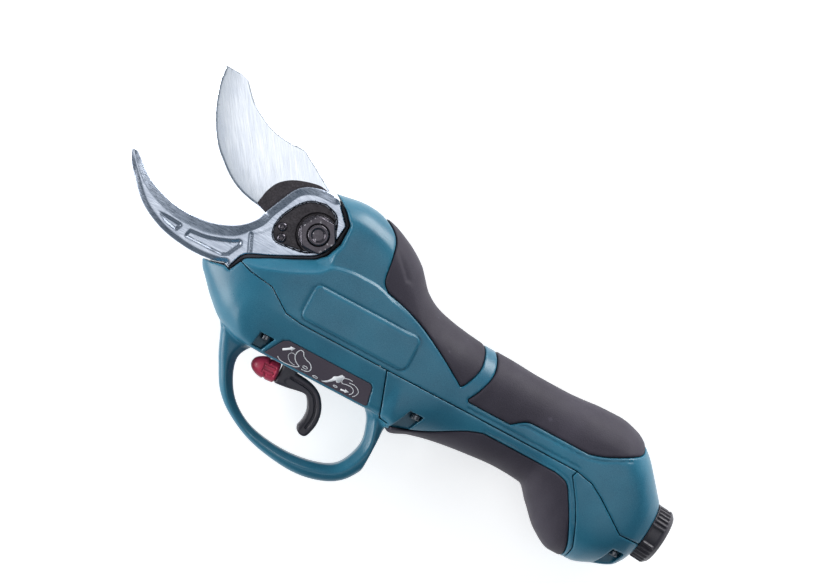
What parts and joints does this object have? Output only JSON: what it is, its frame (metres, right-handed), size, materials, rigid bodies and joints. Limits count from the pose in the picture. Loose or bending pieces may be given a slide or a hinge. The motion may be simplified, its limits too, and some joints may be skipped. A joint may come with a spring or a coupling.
{
  "type": "battery electric pruner",
  "caption": "One-hand electric pruning shears with a swinging blade over a fixed hook, a closed trigger guard, a motor in the soft-grip handle and a supply connector at the tail.",
  "frame": {"origin": "under the middle of the whole tool's box, on the plane that the right flank rests on, with the blades open", "axes": "+X along the tool from the blades to the tail connector, +Y from the finger guard to the back of the tool, +Z out of the left flank; the tool lies on its right flank"},
  "size_m": [0.3088, 0.1536, 0.047],
  "materials": {
    "shell_plastic": "satin moulded teal nylon with a fine grain",
    "grip_rubber": "matt dark grey overmoulded soft grip with a fine grain",
    "label_film": "dark satin label film",
    "blade_steel": "bright ground and brushed tool steel",
    "forged_steel": "grey forged steel with ground lands",
    "black_steel": "black oxide on steel",
    "machined_steel": "turned bearing steel",
    "bronze": "sintered bronze and plated brass",
    "zinc_screws": "zinc plated steel",
    "copper_winding": "enamelled copper windings on a laminated core",
    "magnet": "sintered magnet",
    "circuit_board": "green circuit board",
    "black_plastic": "dark satin moulded nylon",
    "red_plastic": "raspberry red satin moulded plastic"
  },
  "bodies": {
    "body": {"upper_housing": "shell_plastic", "guard_housing": "shell_plastic", "rear_cover": "shell_plastic", "tail_cover": "shell_plastic", "front_grip_pad": "grip_rubber", "rear_grip_pad": "grip_rubber", "lower_grip_pad": "grip_rubber", "label_plate_left": "label_film", "label_plate_right": "label_film", "housing_screw_nose_left": "zinc_screws", "housing_screw_nose_right": "zinc_screws", "housing_screw_rear_left": "zinc_screws", "housing_screw_rear_right": "zinc_screws", "housing_screw_tail_left": "zinc_screws", "housing_screw_tail_right": "zinc_screws", "tang_screw": "zinc_screws", "thrust_washer": "bronze", "connector_pin_1": "bronze", "connector_pin_2": "bronze", "connector_pin_3": "bronze", "counter_blade": "forged_steel", "bearing_block": "forged_steel", "ring_gear": "forged_steel", "motor_front_plate": "forged_steel", "head_frame": "black_steel", "pivot_bolt": "black_steel", "pivot_nut": "black_steel", "lock_plate": "black_steel", "lock_plate_screw_1": "black_steel", "lock_plate_screw_2": "black_steel", "motor_can": "black_steel", "screw_bearing": "machined_steel", "motor_bearing_front": "machined_steel", "motor_bearing_rear": "machined_steel", "trigger_pin": "machined_steel", "trigger_spring": "machined_steel", "stator": "copper_winding", "controller_board": "circuit_board", "motor_end_cap": "black_plastic", "trigger_switch": "black_plastic", "connector_socket": "black_plastic"},
    "cutting_blade": {"cutting_blade": "blade_steel", "blade_bush": "bronze"},
    "drive_nut": {"ball_nut": "machined_steel", "yoke_pin": "machined_steel"},
    "drive_screw": {"ball_screw": "machined_steel", "planet_carrier": "machined_steel"},
    "planet_1": {"planet_gear_1": "machined_steel"},
    "planet_2": {"planet_gear_2": "machined_steel"},
    "planet_3": {"planet_gear_3": "machined_steel"},
    "rotor": {"rotor_shaft": "machined_steel", "rotor_magnet": "magnet"},
    "trigger": {"trigger": "black_plastic"},
    "lock_knob": {"lock_knob": "red_plastic"},
    "coupling_ring": {"coupling_ring": "black_plastic"}
  },
  "joints": [
    {"name": "blade_swing", "type": "hinge", "parent": "body", "child": "cutting_blade", "pos_m": [-0.05948, 0.02726, 0.0235], "axis": [0, 0, 1], "range_deg": [0, 40]},
    {"name": "nut_travel", "type": "slide", "parent": "body", "child": "drive_nut", "axis": [1, 0, 0], "range_m": [-0.0005, 0.02379]},
    {"name": "screw_spin", "type": "hinge", "parent": "body", "child": "drive_screw", "pos_m": [-0.00948, -0.00475, 0.0235], "axis": [1, 0, 0], "range_deg": [-2110, 10]},
    {"name": "rotor_spin", "type": "hinge", "parent": "body", "child": "rotor", "pos_m": [0.06053, -0.00475, 0.0235], "axis": [1, 0, 0], "range_deg": [-8440, 40]},
    {"name": "planet_1_spin", "type": "hinge", "parent": "drive_screw", "child": "planet_1", "pos_m": [0.02432, -0.00475, 0.0151], "axis": [1, 0, 0], "range_deg": [-30, 6330]},
    {"name": "planet_2_spin", "type": "hinge", "parent": "drive_screw", "child": "planet_2", "pos_m": [0.02432, 0.00253, 0.0277], "axis": [1, 0, 0], "range_deg": [-30, 6330]},
    {"name": "planet_3_spin", "type": "hinge", "parent": "drive_screw", "child": "planet_3", "pos_m": [0.02432, -0.01202, 0.0277], "axis": [1, 0, 0], "range_deg": [-30, 6330]},
    {"name": "trigger_pull", "type": "hinge", "parent": "body", "child": "trigger", "pos_m": [-0.04147, -0.02575, 0.0235], "axis": [0, 0, 1], "range_deg": [0, 16], "stiffness_Nm_per_rad": 0.25, "springref_deg": -20.05},
    {"name": "lock_knob_turn", "type": "hinge", "parent": "trigger", "child": "lock_knob", "pos_m": [-0.04457, -0.03914, 0.0235], "axis": [-0.9981, -0.061, 0], "range_deg": [0, 90]},
    {"name": "coupling_ring_turn", "type": "hinge", "parent": "body", "child": "coupling_ring", "pos_m": [0.14372, -0.02304, 0.0235], "axis": [0.9965, -0.0839, 0], "continuous": true}
  ],
  "couplings": [
    {"joint": "nut_travel", "follows": "blade_swing", "m_per_rad": 0.033366},
    {"joint": "screw_spin", "follows": "blade_swing", "ratio": -52.412},
    {"joint": "rotor_spin", "follows": "blade_swing", "ratio": -209.65},
    {"joint": "planet_1_spin", "follows": "blade_swing", "ratio": 157.24},
    {"joint": "planet_2_spin", "follows": "blade_swing", "ratio": 157.24},
    {"joint": "planet_3_spin", "follows": "blade_swing", "ratio": 157.24}
  ]
}
